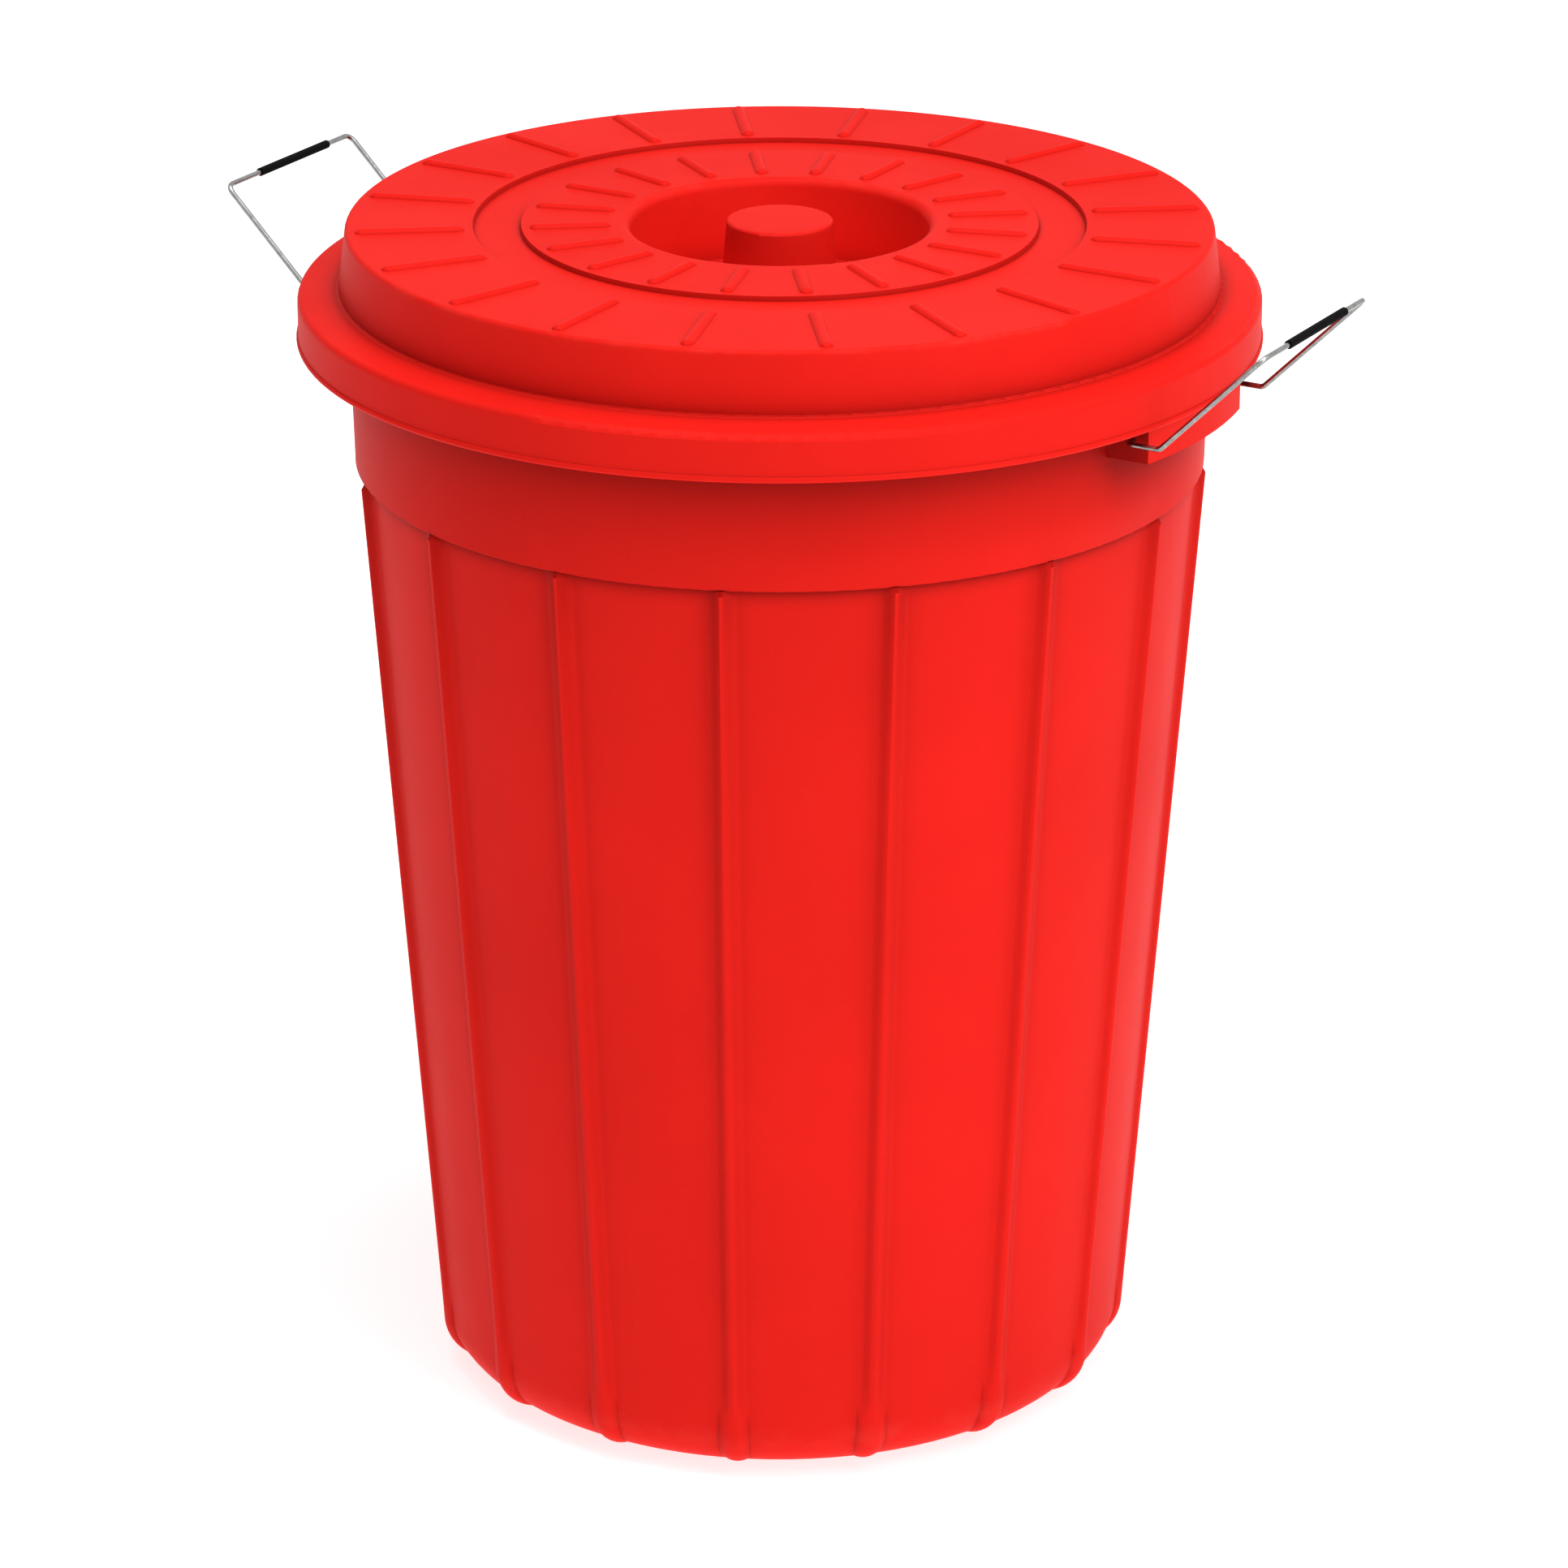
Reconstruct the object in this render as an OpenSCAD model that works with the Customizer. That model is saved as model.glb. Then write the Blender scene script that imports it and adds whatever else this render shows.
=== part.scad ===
// Round moulded storage drum with a lift-off lid and two swinging wire bails.
// Millimetres. The origin is the middle of the base, on the floor. Z points up.
// The two bails stand on the X axis. A wall rib stands under each of them.

/* [Drum] */
// Height of the rim above the floor
rim_h = 718; // [680:2:760]
// Outer radius of the wall where its line would meet the floor
base_r = 220.5; // [212:0.5:228]
// Outer radius of the wall just under the ledge
wall_r = 262.5; // [256:0.5:268]
// Height of the small ledge where the plain band starts
ledge_h = 613; // [588:1:628]
// How far the plain band stands out over the wall
ledge_step = 4; // [3:0.5:5]
// How much the plain band widens from the ledge up to the rim
band_flare = 3; // [1:0.5:5]
// Thickness of every moulded wall
wall_t = 3; // [2.4:0.2:3.4]
// Reach of the rim flange beyond the band
rim_reach = 26.5; // [25:0.5:29]
// Depth of the lip that turns down at the edge of the rim
rim_lip = 22; // [18:1:24]

/* [Wall ribs] */
// Number of ribs round the wall
rib_count = 16; // [12:2:20]
// Radius of the round bar that a rib is cut from
rib_r = 14; // [12:0.5:16]
// How far a rib stands out of the wall at the floor
rib_out_base = 3.6; // [2.8:0.1:4.8]
// How far a rib stands out of the wall at the ledge
rib_out_top = 5.9; // [5:0.1:6.5]
// Inner radius of the turn that a rib makes in under the base
rib_turn = 4; // [2:0.5:8]

/* [Base] */
// Height of the foot ring
foot_h = 3; // [2:0.5:4]
// How far the foot ring stands in from the edge of the flat base
foot_in = 2; // [1:0.5:10]
// Width of the foot ring
foot_w = 10; // [6:1:14]
// Rounding from the wall in to the base
base_round = 36; // [30:1:40]

/* [Handle lugs] */
// Half the length of the block that holds a bail
lug_half = 62; // [54:1:64]
// Depth of the block below the rim
lug_drop = 48; // [42:1:56]
// Thickness of the block's end walls, where the wire runs
lug_end_t = 8; // [6:0.5:10]

/* [Lid] */
// Height of the lid's flat top above the rim
lid_rise = 45; // [44:1:55]
// Free gap between the rim and the lid's skirt
lid_gap = 1; // [0.6:0.1:1.4]
// How far the skirt reaches below the rim's top face
skirt_drop = 25.4; // [23:0.2:27]
// Width of the lid's flange, from the skirt in to the raised top
flange_w = 25.5; // [23:0.5:27]
// Draft of the raised top's side wall, as a widening over its height
side_flare = 5; // [3:0.5:7]
// Outer radius of the shallow ring trough
trough_out_r = 189.5; // [184:0.5:196]
// Inner radius of the shallow ring trough
trough_in_r = 161.5; // [156:0.5:168]
// Depth of the ring trough
trough_d = 3; // [2:0.2:3.4]
// Radius of the middle bowl at its rim
bowl_r = 94; // [88:1:100]
// Radius of the flat top of the knob
knob_r = 33; // [30:1:36]
// How far the bowl's underside lies below the rim's top face
bowl_sink = 9; // [6:0.5:12]
// How far the knob's top stands over the lid's top
knob_rise = 1; // [0:0.5:2]

/* [Lid bars] */
// Number of raised bars in each of the two rings
bar_count = 20; // [16:1:24]
// Radius of the round bar that a raised bar is cut from
bar_r = 5; // [4:0.5:6]
// Height of a raised bar
bar_h = 2.4; // [1.8:0.2:3]
// Gap between the bars' ends and the edges next to them
bar_gap = 5.8; // [4:0.2:8]
// Gap between the inner bars and the bowl's rim
bowl_gap = 11; // [9:0.5:14]

/* [Bails] */
// Diameter of the wire
wire_d = 3.4; // [3:0.1:4]
// Distance of each wire arm from the middle of the bail
bail_half = 70.3; // [68:0.1:74]
// Depth of the bail's pivot below the rim
pivot_drop = 34.5; // [32:0.5:36]
// How far the pivot lies in from the edge of the rim
pivot_in = 17; // [15:0.5:19]
// Reach of the crank that carries the wire out past the lid
crank = 21.8; // [21:0.1:26]
// Length of an arm from the crank's end to the crosspiece
arm = 94; // [80:1:110]
// Lean of the arms above the horizontal, as the drum stands
lean = 45; // [35:1:55]
// Bend radius at the two corners of the crosspiece
corner_bend = 6; // [5:0.5:9]
// Bend radius of the other bends
small_bend = 5; // [4:0.5:6]
// Length of wire that reaches into the block
pin_l = 12; // [10:0.5:14]

/* [Grips] */
// Outer diameter of the sleeve on the crosspiece
grip_d = 5.4; // [5:0.1:6.4]
// Length of the sleeve
grip_l = 77; // [70:1:100]
// How far back the right sleeve sits from the middle of its wire
right_shift = 2; // [0:0.5:8]
// How far back the left sleeve sits from the middle of its wire
left_shift = 5; // [0:0.5:8]

/* [Hidden] */
$fn = 96;
// Free play round a wire that turns in a hole
run_fit = 0.05;
// Rounding of the thin moulded edges
edge_round = 1;
// Overlap of two pieces of one moulding
bond = 1;
// How far a straight run of wire reaches into the bends at its ends
bend_lap = 0.05;
// How much thicker the wire is where it is bent
bend_swell = 0.02;
// Facets drawn round a small bar
bar_fn = 48;
// Gap left between the lid and the rim that it rests on
seat_gap = 0.2;
// Roundings of the lid, from its edge in to the knob
shoulder_round = 4;
side_fillet = 2;
top_round = 3;
bowl_round = 6;
bowl_fillet = 5;
knob_fillet = 3;
knob_round = 2;
// Rise of the lid's flange from its edge to the raised top
flange_rise = 3;
// Radius of the bead round the foot of the skirt, and how far its middle lies above that foot
bead_r = 2.2;
bead_rise = 1.8;
// How far the trough's two edges slope in
trough_draft = 1;
// How far a rib curls on past the level, up into the floor
rib_curl = 65;
// How far the lowest point of a rib lies above the flat of the base
toe_lift = 1.5;

wall_slope = (wall_r - base_r) / ledge_h;
band_r = wall_r + ledge_step;
mouth_r = band_r + band_flare;
rim_r = mouth_r + rim_reach;
foot_r = base_r + wall_slope * foot_h - base_round - foot_in;
floor_top = foot_h + wall_t;
inner_round = max(base_round - wall_t, edge_round);

crest_base = base_r + rib_out_base;
crest_top = wall_r + rib_out_top;
rib_lean = atan((crest_top - crest_base) / ledge_h);
rib_axis_top = crest_top - rib_r / cos(rib_lean);
rib_bend = rib_r + rib_turn;
rib_bend_z = foot_h + toe_lift + rib_r + rib_bend * (1 - sin(rib_lean));
rib_len = (ledge_h - rib_bend_z) / cos(rib_lean);

lug_low = rim_h - lug_drop;
pivot_r = rim_r - pivot_in;
pivot_z = rim_h - pivot_drop;
pin_tip = bail_half - small_bend - pin_l;
cross_r = pivot_r + crank + arm * cos(lean);
cross_z = pivot_z + arm * sin(lean);
bore_d = wire_d + 2 * run_fit;
bend_d = wire_d + bend_swell;

lid_in_r = rim_r + lid_gap;
lid_r = lid_in_r + wall_t;
lid_top = rim_h + lid_rise;
lid_low = rim_h + seat_gap;
skirt_low = rim_h - skirt_drop;
plate_low = lid_top - wall_t;
flange_edge = lid_low + wall_t;
side_foot_r = lid_r - flange_w;
side_foot_z = flange_edge + flange_rise;
plate_r = side_foot_r - side_flare;
bowl_low = rim_h - bowl_sink;
bowl_floor = bowl_low + wall_t;
bowl_draft = tan(12);
bowl_floor_r = bowl_r - (lid_top - bowl_floor) * bowl_draft;
knob_top = lid_top + knob_rise;
knob_draft = tan(5);
knob_foot_r = knob_r + (knob_top - bowl_floor) * knob_draft;
outer_bar = [trough_out_r + bar_gap, plate_r - bar_gap];
inner_bar = [bowl_r + bowl_gap, trough_in_r - bar_gap];

function unit(v) = v / norm(v);
function at(points, i) = let (p = points[(i + len(points)) % len(points)]) [p[0], p[1]];
function side(points, i) =
    let (a = at(points, i) - at(points, i - 1), b = at(points, i + 1) - at(points, i))
    a[0] * b[1] - a[1] * b[0];
function back(points, i) = unit(at(points, i - 1) - at(points, i));
function ahead(points, i) = unit(at(points, i + 1) - at(points, i));
function half_angle(points, i) = acos(back(points, i) * ahead(points, i)) / 2;
function centre(points, i) =
    at(points, i) + unit(back(points, i) + ahead(points, i)) * points[i][2] / sin(half_angle(points, i));
function tangents(points, i) =
    let (t = points[i][2] / tan(half_angle(points, i)))
    [at(points, i) + back(points, i) * t, at(points, i) + ahead(points, i) * t];

// Outline through corners [x, y, rounding], listed counter-clockwise, with true arcs at the rounded ones.
module outline(points) {
    last = len(points) - 1;
    difference() {
        union() {
            polygon([
                for (i = [0 : last])
                    each (points[i][2] > 0 ? tangents(points, i) : [at(points, i)])
            ]);
            for (i = [0 : last])
                if (points[i][2] > 0 && side(points, i) > 0)
                    translate(centre(points, i)) circle(r = points[i][2]);
        }
        for (i = [0 : last])
            if (points[i][2] > 0 && side(points, i) < 0)
                translate(centre(points, i)) circle(r = points[i][2]);
    }
}

// A straight piece of round bar along Z, longer by a lap at both ends, then whatever follows it.
module run(d, l, lap = 0) {
    translate([0, 0, -lap]) cylinder(d = d, h = l + 2 * lap, $fn = bar_fn);
    translate([0, 0, l]) children();
}

// A bend of round bar from Z over towards X, then whatever follows it.
module bend(d, r, a) {
    rotate([0, 0, 180])
        translate([-r, 0, 0])
            rotate([90, 0, 0])
                rotate_extrude(angle = a)
                    translate([r, 0]) circle(d = d, $fn = bar_fn);
    translate([r * (1 - cos(a)), 0, r * sin(a)]) rotate([0, a, 0]) children();
}

// The drum as a filled shape: tapered wall, ledge and plain band.
module drum_outside() {
    rotate_extrude()
        outline([
            [0, foot_h, 0],
            [base_r + wall_slope * foot_h, foot_h, base_round],
            [wall_r, ledge_h, 0],
            [band_r, ledge_h, edge_round],
            [mouth_r, rim_h, 0],
            [0, rim_h, 0],
        ]);
}

// The space inside the drum.
module drum_inside() {
    step_z = ledge_h + wall_t;
    rotate_extrude()
        outline([
            [0, floor_top, 0],
            [base_r + wall_slope * floor_top - wall_t, floor_top, inner_round],
            [wall_r + wall_slope * wall_t - wall_t, step_z, 0],
            [band_r - wall_t, step_z, 0],
            [mouth_r - wall_t, rim_h, 0],
            [mouth_r - wall_t, rim_h + bond, 0],
            [0, rim_h + bond, 0],
        ]);
}

// One rib: a half-buried round bar down the wall that turns in under the base.
module wall_rib() {
    translate([rib_axis_top, 0, ledge_h])
        rotate([0, 180 + rib_lean, 0])
            run(2 * rib_r, rib_len)
                bend(2 * rib_r, rib_bend, 90 - rib_lean + rib_curl);
}

module wall_ribs() {
    for (i = [0 : rib_count - 1])
        rotate([0, 0, i * 360 / rib_count]) wall_rib();
}

module foot_ring() {
    rotate_extrude()
        translate([foot_r - foot_w, 0]) square([foot_w, foot_h + bond]);
}

// The flange round the mouth, with its lip turned down.
module rim() {
    rotate_extrude()
        outline([
            [mouth_r - bond, rim_h - wall_t, 0],
            [rim_r - wall_t, rim_h - wall_t, 0],
            [rim_r - wall_t, rim_h - rim_lip, 0],
            [rim_r, rim_h - rim_lip, 0],
            [rim_r, rim_h, edge_round],
            [mouth_r - bond, rim_h, 0],
        ]);
}

// A ring between two radii and two heights.
module ring(r_in, r_out, low, high) {
    rotate_extrude()
        translate([r_in, low]) square([r_out - r_in, high - low]);
}

// The block under the rim that holds a bail, hollow from below, on the +X side.
module lug() {
    inner_half = lug_half - lug_end_t;
    difference() {
        intersection() {
            ring(band_r, rim_r, lug_low, rim_h - wall_t / 2);
            translate([band_r / 2, -lug_half, lug_low]) cube([rim_r, 2 * lug_half, lug_drop]);
        }
        intersection() {
            ring(band_r - bond, rim_r - wall_t, lug_low - bond, rim_h - wall_t);
            for (s = [-1, 1])
                translate([band_r / 2, s > 0 ? wall_t / 2 : -inner_half, lug_low - bond])
                    cube([rim_r, inner_half - wall_t / 2, lug_drop]);
        }
        for (s = [-1, 1])
            translate([pivot_r, s * (lug_half - lug_end_t / 2), pivot_z])
                rotate([90, 0, 0])
                    cylinder(d = bore_d, h = lug_end_t + 2 * bond, center = true);
    }
}

module drum_body() {
    color("red") {
        difference() {
            union() {
                drum_outside();
                wall_ribs();
            }
            drum_inside();
        }
        foot_ring();
        rim();
        lug();
        rotate([0, 0, 180]) lug();
    }
}

// The lid as a filled shape, down to the foot of its skirt: flange, raised top, ring trough, bowl and knob.
module lid_outside() {
    trough_z = lid_top - trough_d;
    rotate_extrude()
        outline([
            [0, skirt_low, 0],
            [lid_r, skirt_low, edge_round],
            [lid_r, flange_edge, shoulder_round],
            [side_foot_r, side_foot_z, side_fillet],
            [plate_r, lid_top, top_round],
            [trough_out_r + trough_draft, lid_top, 0],
            [trough_out_r, trough_z, 0],
            [trough_in_r, trough_z, 0],
            [trough_in_r - trough_draft, lid_top, 0],
            [bowl_r, lid_top, bowl_round],
            [bowl_floor_r, bowl_floor, bowl_fillet],
            [knob_foot_r, bowl_floor, knob_fillet],
            [knob_r, knob_top, knob_round],
            [0, knob_top, 0],
        ]);
}

// The space under the lid: inside the skirt, where the drum's rim goes, and up round the bowl.
module lid_hollow() {
    plate_low_trough = plate_low - trough_d;
    rotate_extrude()
        polygon([
            [0, skirt_low - bond],
            [lid_in_r, skirt_low - bond],
            [lid_in_r, lid_low],
            [side_foot_r - wall_t, lid_low],
            [side_foot_r - wall_t, flange_edge],
            [plate_r - wall_t, plate_low],
            [trough_out_r + wall_t, plate_low],
            [trough_out_r, plate_low_trough],
            [trough_in_r, plate_low_trough],
            [trough_in_r - wall_t, plate_low],
            [bowl_r + wall_t - wall_t * bowl_draft, plate_low],
            [bowl_floor_r + wall_t, bowl_low],
            [0, bowl_low],
        ]);
}

// The hollow up inside the knob.
module knob_hollow() {
    rotate_extrude()
        polygon([
            [0, bowl_low - bond],
            [knob_foot_r - wall_t, bowl_low - bond],
            [knob_foot_r - wall_t, bowl_low],
            [knob_r - wall_t, knob_top - wall_t],
            [0, knob_top - wall_t],
        ]);
}

// One raised bar with rounded ends, along X from one radius to another.
module bar(ends) {
    z = lid_top + bar_h - bar_r;
    inset = sqrt(bar_r * bar_r - (bar_r - bar_h) * (bar_r - bar_h));
    from = ends[0] + inset;
    to = ends[1] - inset;
    translate([from, 0, z])
        rotate([0, 90, 0]) {
            cylinder(r = bar_r, h = to - from, $fn = bar_fn);
            sphere(r = bar_r, $fn = bar_fn);
            translate([0, 0, to - from]) sphere(r = bar_r, $fn = bar_fn);
        }
}

module bar_rings() {
    for (i = [0 : bar_count - 1])
        rotate([0, 0, i * 360 / bar_count]) {
            bar(outer_bar);
            bar(inner_bar);
        }
}

// The small rounded bead round the foot of the skirt.
module skirt_bead() {
    rotate_extrude()
        translate([lid_r - bond, skirt_low + bead_rise]) circle(r = bead_r, $fn = bar_fn);
}

module lid() {
    color("red") {
        difference() {
            union() {
                lid_outside();
                skirt_bead();
                bar_rings();
            }
            lid_hollow();
            knob_hollow();
        }
    }
}

// One side of a bail: pin, crank, arm and corner, and then the crosspiece if it is asked for.
module bail_side(cross_l) {
    fold = small_bend * tan(lean / 2);
    translate([pivot_r, pin_tip, pivot_z])
        rotate([-90, 0, 0])
            run(wire_d, pin_l, bend_lap)
                bend(bend_d, small_bend, 90)
                    rotate([0, 0, -90])
                        run(wire_d, crank - small_bend - fold, bend_lap)
                            bend(bend_d, small_bend, lean)
                                rotate([0, 0, 90])
                                    run(wire_d, arm - fold - corner_bend, bend_lap)
                                        bend(bend_d, corner_bend, 90)
                                            if (cross_l > 0) run(wire_d, cross_l, bend_lap);
}

module bail() {
    color("silver") {
        bail_side(2 * (bail_half - corner_bend));
        mirror([0, 1, 0]) bail_side(0);
    }
}

// The sleeve that turns on the crosspiece.
module grip(shift) {
    color("black")
        translate([cross_r, shift, cross_z])
            rotate([90, 0, 0])
                rotate_extrude()
                    translate([bore_d / 2, -grip_l / 2])
                        square([(grip_d - bore_d) / 2, grip_l]);
}

drum_body();
lid();
rotate([0, 0, 180]) bail();  // left_bail
bail();  // right_bail
rotate([0, 0, 180]) grip(-left_shift);  // left_grip
grip(right_shift);  // right_grip
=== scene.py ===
# %% [markdown]
# # A moulded storage drum
# The object is a tall tapered drum of red plastic. It has a lift-off lid, and a wire bail on each side.
# The construction model gives every solid at its real size and place. Here each one gets its finish,
# and the drum's ribbed skin, which a plain solid shows poorly, is modelled in the same place.
# Everything is in metres. Z points up, and the floor lies at zero.

# %% Load the construction model
import math

import bpy
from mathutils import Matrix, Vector


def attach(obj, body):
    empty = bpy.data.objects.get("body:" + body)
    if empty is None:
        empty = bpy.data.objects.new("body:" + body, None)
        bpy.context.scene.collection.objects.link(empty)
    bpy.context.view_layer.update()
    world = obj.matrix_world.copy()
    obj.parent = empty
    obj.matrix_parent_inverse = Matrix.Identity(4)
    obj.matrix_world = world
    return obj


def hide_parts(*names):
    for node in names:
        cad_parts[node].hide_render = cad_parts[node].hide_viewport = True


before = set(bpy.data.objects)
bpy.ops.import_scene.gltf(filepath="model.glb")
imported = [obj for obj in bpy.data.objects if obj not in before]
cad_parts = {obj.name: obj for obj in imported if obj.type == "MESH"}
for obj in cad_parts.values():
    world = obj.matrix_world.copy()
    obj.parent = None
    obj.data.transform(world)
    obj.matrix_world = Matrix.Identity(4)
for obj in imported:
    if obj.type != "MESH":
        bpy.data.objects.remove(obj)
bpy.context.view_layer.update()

# %% [markdown]
# ## Small helpers
# An operator works on whatever is selected, so each step first clears the selection.
# A material is a net of nodes. Two helpers keep that short to read: one adds a node and sets its
# values, the other joins two sockets.

# %% Helpers for selection and nodes
MM = 0.001


def only(obj):
    """Selects one object and nothing else."""
    bpy.ops.object.select_all(action="DESELECT")
    obj.select_set(True)
    bpy.context.view_layer.objects.active = obj


def add_node(tree, kind, values=None, **settings):
    """Adds a node, sets its properties, and then its input values by name."""
    node = tree.nodes.new(kind)
    for name, value in settings.items():
        setattr(node, name, value)
    for name, value in (values or {}).items():
        node.inputs[name].default_value = value
    return node


def join(tree, source, target):
    """Joins an output to an input."""
    tree.links.new(source, target)


# %% [markdown]
# ## Moulded grain
# A steel mould is never quite smooth. It leaves a fine grain and a slight waviness on the plastic.
# The two mouldings and the sleeves all have it, so it is one node group: it puts out a height for a
# Bump node, and a mask for patches that are a little duller than the rest.

# %% Node group: moulded grain


def new_group(name, inputs, outputs):
    """A shader node group. An input is a number, or a vector if its value is None."""
    group = bpy.data.node_groups.new(name, "ShaderNodeTree")
    for label, value in inputs.items():
        kind = "NodeSocketVector" if value is None else "NodeSocketFloat"
        socket = group.interface.new_socket(name=label, in_out="INPUT", socket_type=kind)
        if value is not None:
            socket.default_value = value
    for label in outputs:
        group.interface.new_socket(name=label, in_out="OUTPUT", socket_type="NodeSocketFloat")
    return group, group.nodes.new("NodeGroupInput"), group.nodes.new("NodeGroupOutput")


def build_grain_group():
    group, given, out = new_group(
        "moulded grain",
        {"Place": None, "Grain Scale": 900.0, "Patch Scale": 6.0},
        ["Height", "Patches"],
    )
    grain = add_node(group, "ShaderNodeTexNoise", {"Detail": 3.0, "Roughness": 0.6})
    patches = add_node(group, "ShaderNodeTexNoise", {"Detail": 4.0, "Roughness": 0.55})
    join(group, given.outputs["Place"], grain.inputs["Vector"])
    join(group, given.outputs["Grain Scale"], grain.inputs["Scale"])
    join(group, given.outputs["Place"], patches.inputs["Vector"])
    join(group, given.outputs["Patch Scale"], patches.inputs["Scale"])
    join(group, grain.outputs["Fac"], out.inputs["Height"])
    join(group, patches.outputs["Fac"], out.inputs["Patches"])
    return group


grain_group = build_grain_group()
print("group", grain_group.name, "with", len(grain_group.nodes), "nodes")

# %% [markdown]
# ## Rubbed edges
# Plastic turns a little paler where it is knocked and rubbed, most of all along its edges.
# This object is round, so an edge is a ring: a radius and a height say where it is.
# The group measures how far a point lies from that ring, and breaks the line up with noise.

# %% Node group: ring wear


def build_ring_group():
    group, given, out = new_group(
        "ring wear",
        {"Place": None, "Radius": 0.3, "Height": 0.7, "Reach": 0.004},
        ["Mask"],
    )
    split = add_node(group, "ShaderNodeSeparateXYZ")
    join(group, given.outputs["Place"], split.inputs["Vector"])
    flat = add_node(group, "ShaderNodeCombineXYZ")
    join(group, split.outputs["X"], flat.inputs["X"])
    join(group, split.outputs["Y"], flat.inputs["Y"])
    radius = add_node(group, "ShaderNodeVectorMath", operation="LENGTH")
    join(group, flat.outputs["Vector"], radius.inputs[0])
    side = add_node(group, "ShaderNodeMath", operation="SUBTRACT")
    join(group, radius.outputs["Value"], side.inputs[0])
    join(group, given.outputs["Radius"], side.inputs[1])
    rise = add_node(group, "ShaderNodeMath", operation="SUBTRACT")
    join(group, split.outputs["Z"], rise.inputs[0])
    join(group, given.outputs["Height"], rise.inputs[1])
    gap = add_node(group, "ShaderNodeCombineXYZ")
    join(group, side.outputs[0], gap.inputs["X"])
    join(group, rise.outputs[0], gap.inputs["Z"])
    distance = add_node(group, "ShaderNodeVectorMath", operation="LENGTH")
    join(group, gap.outputs["Vector"], distance.inputs[0])
    near = add_node(group, "ShaderNodeMapRange", {"From Min": 0.0, "To Min": 1.0, "To Max": 0.0})
    join(group, distance.outputs["Value"], near.inputs["Value"])
    join(group, given.outputs["Reach"], near.inputs["From Max"])
    breaks = add_node(group, "ShaderNodeTexNoise", {"Scale": 28.0, "Detail": 5.0, "Roughness": 0.7})
    join(group, given.outputs["Place"], breaks.inputs["Vector"])
    broken = add_node(group, "ShaderNodeMapRange", {"From Min": 0.45, "From Max": 0.65})
    join(group, breaks.outputs["Fac"], broken.inputs["Value"])
    mask = add_node(group, "ShaderNodeMath", operation="MULTIPLY")
    join(group, near.outputs["Result"], mask.inputs[0])
    join(group, broken.outputs["Result"], mask.inputs[1])
    join(group, mask.outputs[0], out.inputs["Mask"])
    return group


ring_group = build_ring_group()
print("group", ring_group.name, "with", len(ring_group.nodes), "nodes")

# %% [markdown]
# ## Painted shade in the hollows
# The hollows are painted darker, as the shade that falls where a wall meets a ledge, beside a rib
# and round the knob. The Ambient Occlusion node finds such places: it tells how much of the open air a
# point sees within a reach. One node with a long reach finds the wide hollows, and one with a short
# reach finds the lines beside small steps. A place keeps its colour where it sees as much as Open Air
# says, and takes the most painted shade where it sees as little as Closed says.

# %% Node group: painted corner shade


def build_painted_shade_group():
    group, given, out = new_group(
        "painted corner shade",
        {"Open Air": 0.97, "Wide Reach": 0.09, "Wide Closed": 0.4, "Fine Reach": 0.012, "Fine Closed": 0.6},
        ["Mask"],
    )
    masks = []
    for size in ("Wide", "Fine"):
        air = add_node(group, "ShaderNodeAmbientOcclusion", samples=8, only_local=True)
        join(group, given.outputs[size + " Reach"], air.inputs["Distance"])
        # The more shut in a point is, the more painted shade this mask gives it.
        shade_mask = add_node(group, "ShaderNodeMapRange")
        join(group, air.outputs["AO"], shade_mask.inputs["Value"])
        join(group, given.outputs["Open Air"], shade_mask.inputs["From Min"])
        join(group, given.outputs[size + " Closed"], shade_mask.inputs["From Max"])
        masks.append(shade_mask.outputs["Result"])
    most = add_node(group, "ShaderNodeMath", operation="MAXIMUM")
    join(group, masks[0], most.inputs[0])
    join(group, masks[1], most.inputs[1])
    join(group, most.outputs[0], out.inputs["Mask"])
    return group


painted_shade_group = build_painted_shade_group()
print("group", painted_shade_group.name, "with", len(painted_shade_group.nodes), "nodes")

# %% [markdown]
# ## Red plastic
# Both mouldings are the same red polypropylene. Its shine is so soft that no lamp shows on it, and its
# base colour is almost pure red. One plain colour would look like paint, so three effects are laid over
# it: the colour drifts a few hundredths from place to place, the hollows get painted shade, and the
# rubbed edges are paler and duller. Each effect is a mask that mixes one more colour in.

# %% Material: red plastic
RED = [0.8, 0.014, 0.009, 1.0]
PALE_RED = [1.0, 0.16, 0.13, 1.0]
GLOSS = 0.04
PLASTIC_IOR = 1.45
ROUGHNESS = 0.5
DULLEST = 0.07
SHINIEST = -0.05
RUBBED_DULLNESS = 0.15
DRIFT_SHADE = 0.9
# The next value is the share of the red's brightness that the painted shade leaves in the hollows.
PAINTED_CORNER_SHADE = 0.4
RUBBED_SHARE = 0.1
GRAIN_DEPTH = 0.2 * MM
GRAIN_STRENGTH = 0.12


def darker(shade, share):
    """A colour at a share of its brightness."""
    return [c * share for c in shade[:3]] + [1.0]


def mix_in(tree, mask, base, over):
    """Mixes one more colour over another where a mask says. Either colour may be a socket."""
    mix = add_node(tree, "ShaderNodeMix", data_type="RGBA")
    join(tree, mask, mix.inputs["Factor"])
    for name, colour in (("A", base), ("B", over)):
        if isinstance(colour, list):
            mix.inputs[name].default_value = colour
        else:
            join(tree, colour, mix.inputs[name])
    return mix.outputs["Result"]


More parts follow.
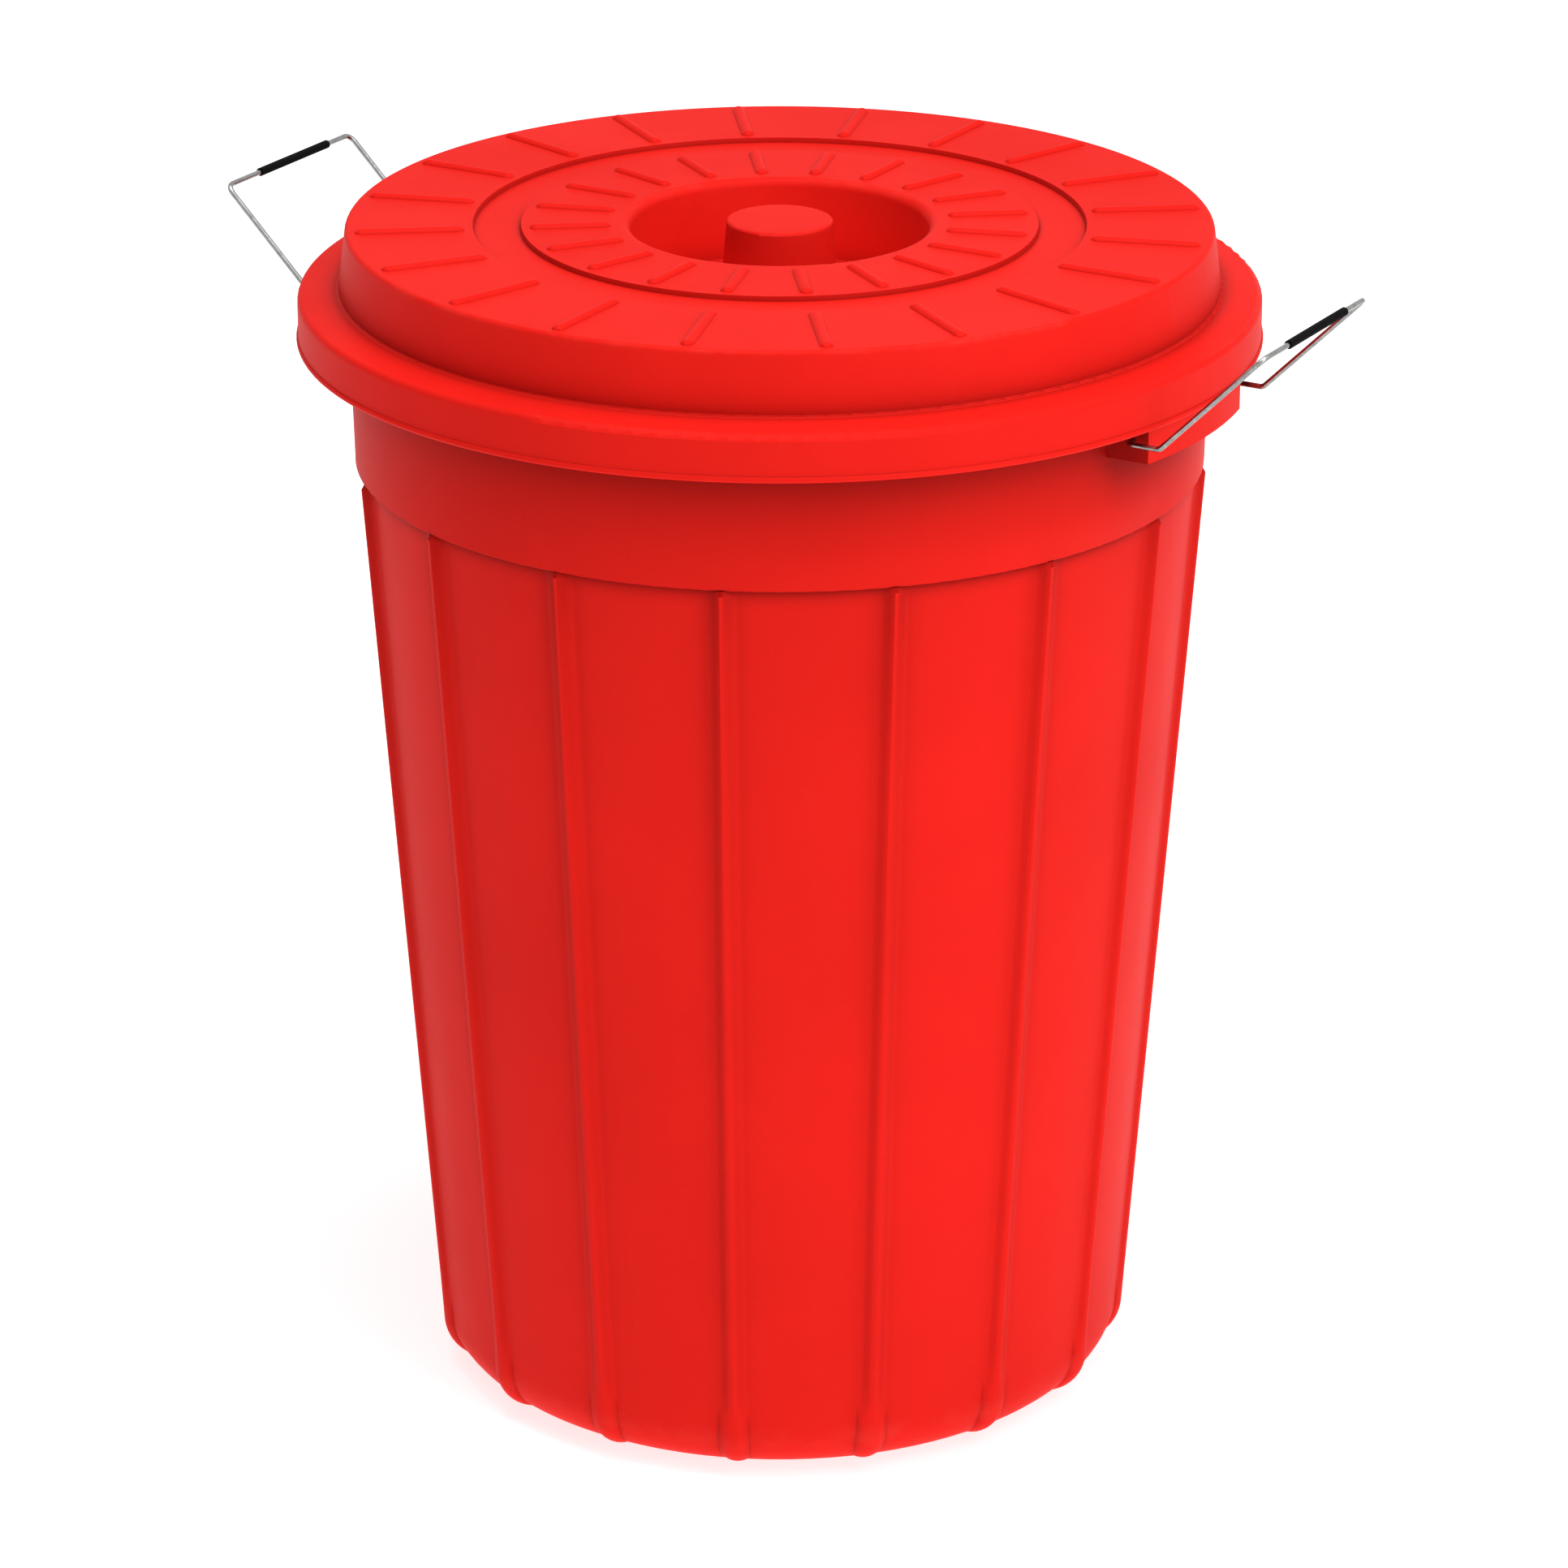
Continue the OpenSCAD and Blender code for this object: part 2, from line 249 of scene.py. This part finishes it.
def rubbed_mask(tree, place, rings):
    """1 on the worn parts of the listed rings, and 0 elsewhere. A ring is (radius, height, reach)."""
    worn = None
    for radius, height, reach in rings:
        values = {"Radius": radius, "Height": height, "Reach": reach}
        ring = add_node(tree, "ShaderNodeGroup", values, node_tree=ring_group)
        join(tree, place, ring.inputs["Place"])
        if worn is None:
            worn = ring.outputs["Mask"]
            continue
        most = add_node(tree, "ShaderNodeMath", operation="MAXIMUM")
        join(tree, worn, most.inputs[0])
        join(tree, ring.outputs["Mask"], most.inputs[1])
        worn = most.outputs[0]
    return worn


def red_colour(tree, patches, worn, painted_shade):
    """The base colour: the red, its drift, the painted shade in the hollows and the paler rubbed edges."""
    spread = add_node(tree, "ShaderNodeMapRange", {"From Min": 0.3, "From Max": 0.7})
    join(tree, patches, spread.inputs["Value"])
    drifting = mix_in(tree, spread.outputs["Result"], RED, darker(RED, DRIFT_SHADE))
    corners = add_node(tree, "ShaderNodeGroup", painted_shade, node_tree=painted_shade_group)
    # Here the hollows are painted darker, as shade.
    shaded_red = mix_in(tree, corners.outputs["Mask"], drifting, darker(RED, PAINTED_CORNER_SHADE))
    amount = add_node(tree, "ShaderNodeMath", operation="MULTIPLY")
    amount.inputs[1].default_value = RUBBED_SHARE
    join(tree, worn, amount.inputs[0])
    return mix_in(tree, amount.outputs[0], shaded_red, PALE_RED)


def red_roughness(tree, patches, worn):
    """The roughness: it wanders with the patches, and the rubbed edges are duller."""
    limits = {"To Min": ROUGHNESS + SHINIEST, "To Max": ROUGHNESS + DULLEST}
    dull = add_node(tree, "ShaderNodeMapRange", limits)
    join(tree, patches, dull.inputs["Value"])
    duller = add_node(tree, "ShaderNodeMath", operation="MULTIPLY_ADD")
    duller.inputs[1].default_value = RUBBED_DULLNESS
    join(tree, worn, duller.inputs[0])
    join(tree, dull.outputs["Result"], duller.inputs[2])
    return duller.outputs[0]


def grain_bump(tree, grain, strength):
    """A normal that carries the moulded grain."""
    bump = add_node(tree, "ShaderNodeBump", {"Strength": strength, "Distance": GRAIN_DEPTH})
    join(tree, grain.outputs["Height"], bump.inputs["Height"])
    return bump.outputs["Normal"]


def red_plastic(name, rings, painted_shade):
    """Moulded red plastic. rings says which edges are rubbed, and the last argument sets the painted shade
    in the hollows.
    """
    material = bpy.data.materials.new(name)
    material.use_nodes = True
    tree = material.node_tree
    shader = tree.nodes["Principled BSDF"]
    shader.inputs["IOR"].default_value = PLASTIC_IOR
    shader.inputs["Specular IOR Level"].default_value = GLOSS
    place = add_node(tree, "ShaderNodeTexCoord").outputs["Object"]
    grain = add_node(tree, "ShaderNodeGroup", node_tree=grain_group)
    join(tree, place, grain.inputs["Place"])
    patches = grain.outputs["Patches"]
    worn = rubbed_mask(tree, place, rings)
    join(tree, red_colour(tree, patches, worn, painted_shade), shader.inputs["Base Color"])
    join(tree, red_roughness(tree, patches, worn), shader.inputs["Roughness"])
    join(tree, grain_bump(tree, grain, GRAIN_STRENGTH), shader.inputs["Normal"])
    return material


BASE_RINGS = [(0.224, 0.03, 0.01)]
LID_RINGS = [(0.2695, 0.763, 0.004), (0.096, 0.762, 0.004), (0.033, 0.764, 0.003)]
# The next two set the reach and depth of the painted shade in each moulding's hollows.
BASE_PAINTED_SHADE = {"Wide Reach": 0.14, "Wide Closed": 0.78, "Fine Closed": 0.83}
LID_PAINTED_SHADE = {"Open Air": 0.9, "Wide Reach": 0.03, "Wide Closed": 0.35, "Fine Closed": 0.64}
drum_red = red_plastic("drum_red", BASE_RINGS, BASE_PAINTED_SHADE)
lid_red = red_plastic("lid_red", LID_RINGS, LID_PAINTED_SHADE)
print("materials", drum_red.name, lid_red.name)

# %% [markdown]
# ## Galvanised wire and black sleeve
# The bails are zinc-coated wire. Zinc is a metal, so it takes its look from what it mirrors, and it is
# a little uneven: a Voronoi pattern gives the small crystals, and noise the dull spots. The sleeve is
# black plastic with hardly any shine, and it has the same moulded grain as the drum.

# %% Materials: wire and sleeve
BRIGHT_ZINC = [0.34, 0.34, 0.33, 1.0]
DARK_ZINC = [0.22, 0.22, 0.215, 1.0]
CRYSTALS_PER_METRE = 420.0
SPOTS_PER_METRE = 60.0
ZINC_ROUGHNESS = (0.14, 0.3)
BLACK = [0.003, 0.003, 0.003, 1.0]
FADED_BLACK = [0.008, 0.008, 0.008, 1.0]
SLEEVE_GLOSS = 0.02
SLEEVE_PATCHES = 90.0
SLEEVE_ROUGHNESS = (0.6, 0.8)
SLEEVE_GRAIN = 0.2


def varied_roughness(tree, mask, limits):
    """A roughness that a mask moves between two limits."""
    rough = add_node(tree, "ShaderNodeMapRange", {"To Min": limits[0], "To Max": limits[1]})
    join(tree, mask, rough.inputs["Value"])
    return rough.outputs["Result"]


def galvanised_wire():
    material = bpy.data.materials.new("galvanised_wire")
    material.use_nodes = True
    tree = material.node_tree
    shader = tree.nodes["Principled BSDF"]
    shader.inputs["Metallic"].default_value = 1.0
    place = add_node(tree, "ShaderNodeTexCoord").outputs["Object"]
    crystals = add_node(tree, "ShaderNodeTexVoronoi", {"Scale": CRYSTALS_PER_METRE})
    join(tree, place, crystals.inputs["Vector"])
    spots = add_node(tree, "ShaderNodeTexNoise", {"Scale": SPOTS_PER_METRE, "Detail": 4.0})
    join(tree, place, spots.inputs["Vector"])
    zinc = mix_in(tree, crystals.outputs["Color"], BRIGHT_ZINC, DARK_ZINC)
    join(tree, zinc, shader.inputs["Base Color"])
    join(tree, varied_roughness(tree, spots.outputs["Fac"], ZINC_ROUGHNESS), shader.inputs["Roughness"])
    return material


def black_sleeve():
    material = bpy.data.materials.new("black_sleeve")
    material.use_nodes = True
    tree = material.node_tree
    shader = tree.nodes["Principled BSDF"]
    shader.inputs["Specular IOR Level"].default_value = SLEEVE_GLOSS
    place = add_node(tree, "ShaderNodeTexCoord").outputs["Object"]
    grain = add_node(tree, "ShaderNodeGroup", {"Patch Scale": SLEEVE_PATCHES}, node_tree=grain_group)
    join(tree, place, grain.inputs["Place"])
    patches = grain.outputs["Patches"]
    join(tree, mix_in(tree, patches, BLACK, FADED_BLACK), shader.inputs["Base Color"])
    join(tree, varied_roughness(tree, patches, SLEEVE_ROUGHNESS), shader.inputs["Roughness"])
    join(tree, grain_bump(tree, grain, SLEEVE_GRAIN), shader.inputs["Normal"])
    return material


wire_zinc = galvanised_wire()
sleeve_black = black_sleeve()
print("materials", wire_zinc.name, sleeve_black.name)

# %% [markdown]
# ## Who gets which finish
# A construction solid keeps its mesh, and only its material changes. The ribbed skin that comes later
# is copied from the drum's solid, so it brings this red with it.

# %% Put the finishes on the construction solids
FINISH = {
    "drum_body": drum_red,
    "lid": lid_red,
    "left_bail": wire_zinc,
    "right_bail": wire_zinc,
    "left_grip": sleeve_black,
    "right_grip": sleeve_black,
}
for node_name, material in FINISH.items():
    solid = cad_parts[node_name]
    solid.data.materials.clear()
    solid.data.materials.append(material)
    print(node_name, "gets", material.name, "triangles", len(solid.data.polygons))

# %% [markdown]
# ## Softer ribs
# On the real drum a rib swells out of the wall in one smooth wave, and dies out under the ledge. The
# construction solid has a plain round bar there, which meets the wall in a crease. A bevel would only
# break that crease, so the drum's skin is copied and its rib points are moved one by one: bisect cuts a
# few rings near both ends, and each point then goes to the height of the wave. The wall between the
# ribs, the crests and the turned-in feet stay where they are.

# %% Model the drum's skin
WALL_AT_FLOOR = 220.5 * MM
WALL_AT_LEDGE = 262.5 * MM
LEDGE_HEIGHT = 613 * MM
LEDGE_DEPTH = 4 * MM
RIB_COUNT = 16
RIB_BAR = 14 * MM
RIB_OUT_AT_FLOOR = 3.6 * MM
RIB_OUT_AT_LEDGE = 5.9 * MM
WAVE_STARTS = 37 * MM
WAVE_IS_FULL = 66 * MM
RIB_RINGS = [40 * MM, 44 * MM, 48 * MM, 53 * MM, 59 * MM, WAVE_IS_FULL, 610 * MM]
RIB_END = 611.5 * MM
WAVE_SHARPNESS = 1.3
TOUCH = 0.02 * MM
WELD = 0.001 * MM
SMOOTH_BELOW = math.radians(32)


def between(start, end, z):
    """The value at height z on a straight line from the floor to the ledge."""
    return start + (end - start) * z / LEDGE_HEIGHT


def wave_height(across, z):
    """How far a rib stands out at height z, a distance across from its middle."""
    crest = between(RIB_OUT_AT_FLOOR, RIB_OUT_AT_LEDGE, z)
    half_width = math.sqrt(crest * (2 * RIB_BAR - crest))
    return crest * (0.5 + 0.5 * math.cos(math.pi * min(across / half_width, 1))) ** WAVE_SHARPNESS


def soften_ribs(mesh):
    """Moves the rib points of a drum's skin onto the wave, and returns how many it moved."""
    pitch = 2 * math.pi / RIB_COUNT
    moved = 0
    for point in mesh.vertices:
        x, y, z = point.co
        radius = math.hypot(x, y)
        wall = between(WALL_AT_FLOOR, WALL_AT_LEDGE, z)
        if not (WAVE_STARTS < z < LEDGE_HEIGHT - TOUCH and radius > wall + TOUCH):
            continue
        turn = math.atan2(y, x) / pitch
        across = abs(turn - round(turn)) * pitch * radius
        # The wave takes over from the round bar step by step, and without a kink at either end.
        share = min((z - WAVE_STARTS) / (WAVE_IS_FULL - WAVE_STARTS), 1)
        share = share * share * (3 - 2 * share)
        stands = radius - wall
        stands += share * (wave_height(across, z) - stands)
        # The top of the rib runs out just inside the ledge, and just below it.
        if z > RIB_END:
            stands *= (LEDGE_DEPTH - TOUCH) / RIB_OUT_AT_LEDGE
            point.co.z = LEDGE_HEIGHT - TOUCH
        point.co.x *= (wall + stands) / radius
        point.co.y *= (wall + stands) / radius
        moved += 1
    return moved


def welded_copy(node_name, name):
    """A copy of a construction solid whose loose triangles are joined at their corners."""
    copy = bpy.data.objects.new(name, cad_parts[node_name].data.copy())
    bpy.context.scene.collection.objects.link(copy)
    only(copy)
    bpy.ops.mesh.customdata_custom_splitnormals_clear()
    bpy.ops.object.mode_set(mode="EDIT")
    bpy.ops.mesh.select_all(action="SELECT")
    bpy.ops.mesh.remove_doubles(threshold=WELD)
    bpy.ops.object.mode_set(mode="OBJECT")
    return copy


def build_skin():
    skin = welded_copy("drum_body", "ribbed_drum")
    bpy.ops.object.mode_set(mode="EDIT")
    for height in RIB_RINGS:
        bpy.ops.mesh.select_all(action="SELECT")
        bpy.ops.mesh.bisect(plane_co=(0, 0, height), plane_no=(0, 0, 1))
    bpy.ops.object.mode_set(mode="OBJECT")
    moved = soften_ribs(skin.data)
    bpy.ops.object.shade_smooth_by_angle(angle=SMOOTH_BELOW)
    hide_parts("drum_body")
    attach(skin, "drum")
    print(skin.name, "has", len(skin.data.polygons), "faces, and", moved, "points were moved")


build_skin()

# %% [markdown]
# ## Camera
# The camera stands where the photograph was taken from: far off with a long lens, 30 degrees round
# from the front, and looking down by 21 degrees.

# %% Camera
CAMERA_TURN = math.radians(30)
CAMERA_TILT = math.radians(21.44)
CAMERA_AWAY = 3.773
CAMERA_HEIGHT = 1.869
FOCAL_PIXELS = 7777
FRAME_PIXELS = 1932
AXIS_PIXEL = 960.8
SENSOR = 36.0

camera_data = bpy.data.cameras.new("camera")
camera_data.sensor_width = SENSOR
camera_data.lens = SENSOR * FOCAL_PIXELS / FRAME_PIXELS
camera_data.shift_x = (FRAME_PIXELS / 2 - AXIS_PIXEL) / FRAME_PIXELS
camera_data.clip_end = 100
camera = bpy.data.objects.new("camera", camera_data)
bpy.context.scene.collection.objects.link(camera)
camera.location = (
    CAMERA_AWAY * math.sin(CAMERA_TURN),
    -CAMERA_AWAY * math.cos(CAMERA_TURN),
    CAMERA_HEIGHT,
)
camera.rotation_euler = (math.pi / 2 - CAMERA_TILT, 0, CAMERA_TURN)
bpy.context.scene.camera = camera
bpy.context.scene.view_settings.view_transform = "Standard"
print("lens", round(camera_data.lens, 1), "mm")

# %% [markdown]
# ## Floor and background
# The floor is a plain pale plane, as a sheet of white acrylic that is lit from below as well.
# A Light Path node tells the rays apart. The camera sees a glow that lifts the sheet to white paper,
# less so near the drum, where it leaves the soft shadow. The rays that light the drum see a steady
# sheet. The world does the same: it is white to the camera, and almost dark to the drum.

# %% Floor and world
FLOOR_SIZE = 24.0
FLOOR_SHADE = 0.55
FLOOR_GLOW = 0.78
FLOOR_BOUNCE = 0.95
FLOOR_ROUGHNESS = 0.9
SHADOW_NEAR = 0.5
SHADOW_FAR = 1.6
AMBIENT = 0.05


def seen_directly(tree):
    """1 for rays from the camera, off a gloss or through glass, and 0 for rays that carry soft light."""
    path = add_node(tree, "ShaderNodeLightPath")
    seen = path.outputs["Is Camera Ray"]
    for kind in ("Is Glossy Ray", "Is Transmission Ray"):
        either = add_node(tree, "ShaderNodeMath", operation="MAXIMUM")
        join(tree, seen, either.inputs[0])
        join(tree, path.outputs[kind], either.inputs[1])
        seen = either.outputs[0]
    return seen


def build_floor():
    bpy.ops.object.select_all(action="DESELECT")
    bpy.ops.mesh.primitive_plane_add(size=FLOOR_SIZE, location=(0, 0, 0))
    floor = bpy.context.object
    floor.name = "floor"
    material = bpy.data.materials.new("white_floor")
    material.use_nodes = True
    tree = material.node_tree
    shader = tree.nodes["Principled BSDF"]
    shader.inputs["Base Color"].default_value = [FLOOR_SHADE, FLOOR_SHADE, FLOOR_SHADE, 1.0]
    shader.inputs["Roughness"].default_value = FLOOR_ROUGHNESS
    shader.inputs["Specular IOR Level"].default_value = 0.0
    glow = add_node(tree, "ShaderNodeEmission")
    place = add_node(tree, "ShaderNodeTexCoord").outputs["Object"]
    away = add_node(tree, "ShaderNodeVectorMath", operation="LENGTH")
    join(tree, place, away.inputs[0])
    paper = add_node(tree, "ShaderNodeMapRange", {"To Min": FLOOR_GLOW, "To Max": 1.0})
    paper.inputs["From Min"].default_value = SHADOW_NEAR
    paper.inputs["From Max"].default_value = SHADOW_FAR
    join(tree, away.outputs["Value"], paper.inputs["Value"])
    strength = add_node(tree, "ShaderNodeMapRange", {"To Min": FLOOR_BOUNCE})
    join(tree, seen_directly(tree), strength.inputs["Value"])
    join(tree, paper.outputs["Result"], strength.inputs["To Max"])
    join(tree, strength.outputs["Result"], glow.inputs["Strength"])
    both = add_node(tree, "ShaderNodeAddShader")
    join(tree, shader.outputs["BSDF"], both.inputs[0])
    join(tree, glow.outputs["Emission"], both.inputs[1])
    join(tree, both.outputs["Shader"], tree.nodes["Material Output"].inputs["Surface"])
    floor.data.materials.append(material)


def build_world():
    world = bpy.data.worlds.new("studio")
    bpy.context.scene.world = world
    world.use_nodes = True
    tree = world.node_tree
    background = tree.nodes["Background"]
    background.inputs["Color"].default_value = [1.0, 1.0, 1.0, 1.0]
    level = add_node(tree, "ShaderNodeMapRange", {"To Min": AMBIENT, "To Max": 1.0})
    join(tree, seen_directly(tree), level.inputs["Value"])
    join(tree, level.outputs["Result"], background.inputs["Strength"])


build_floor()
build_world()
print("floor and world are ready")

# %% [markdown]
# ## Light
# The photograph is lit softly from above and from the front right, and its left side falls off. One
# lamp could do that, but its shadows would be hard. So a few large square lamps share the work, all at
# one distance, and the strongest hangs overhead. Each is placed by its turn from the camera, to the
# right, and by its height angle.

# %% Lamps
LAMP_AWAY = 4.0
LAMP_SIZE = 2.0
LAMP_AIM = Vector((0, 0, 0.4))
LAMPS = [
    ("top_lamp", 0, 85, 100),
    ("front_lamp", 5, 60, 14),
    ("key_lamp", 45, 45, 46),
    ("right_lamp", 90, 45, 14),
    ("low_lamp", 40, 15, 36),
    ("left_lamp", -70, 65, 20),
]


def soft_lamp(name, turn, lift, power):
    """A square area lamp that faces the drum, turn and lift in degrees, power in watts."""
    data = bpy.data.lights.new(name, "AREA")
    data.size = LAMP_SIZE
    data.energy = power
    lamp = bpy.data.objects.new(name, data)
    bpy.context.scene.collection.objects.link(lamp)
    around = CAMERA_TURN + math.radians(turn)
    lift = math.radians(lift)
    way = Vector((math.cos(lift) * math.sin(around), -math.cos(lift) * math.cos(around), math.sin(lift)))
    lamp.location = LAMP_AIM + way * LAMP_AWAY
    lamp.rotation_euler = (-way).to_track_quat("-Z", "Y").to_euler()


for name, turn, lift, power in LAMPS:
    soft_lamp(name, turn, lift, power)
    print(name, "at", turn, "degrees,", power, "W")
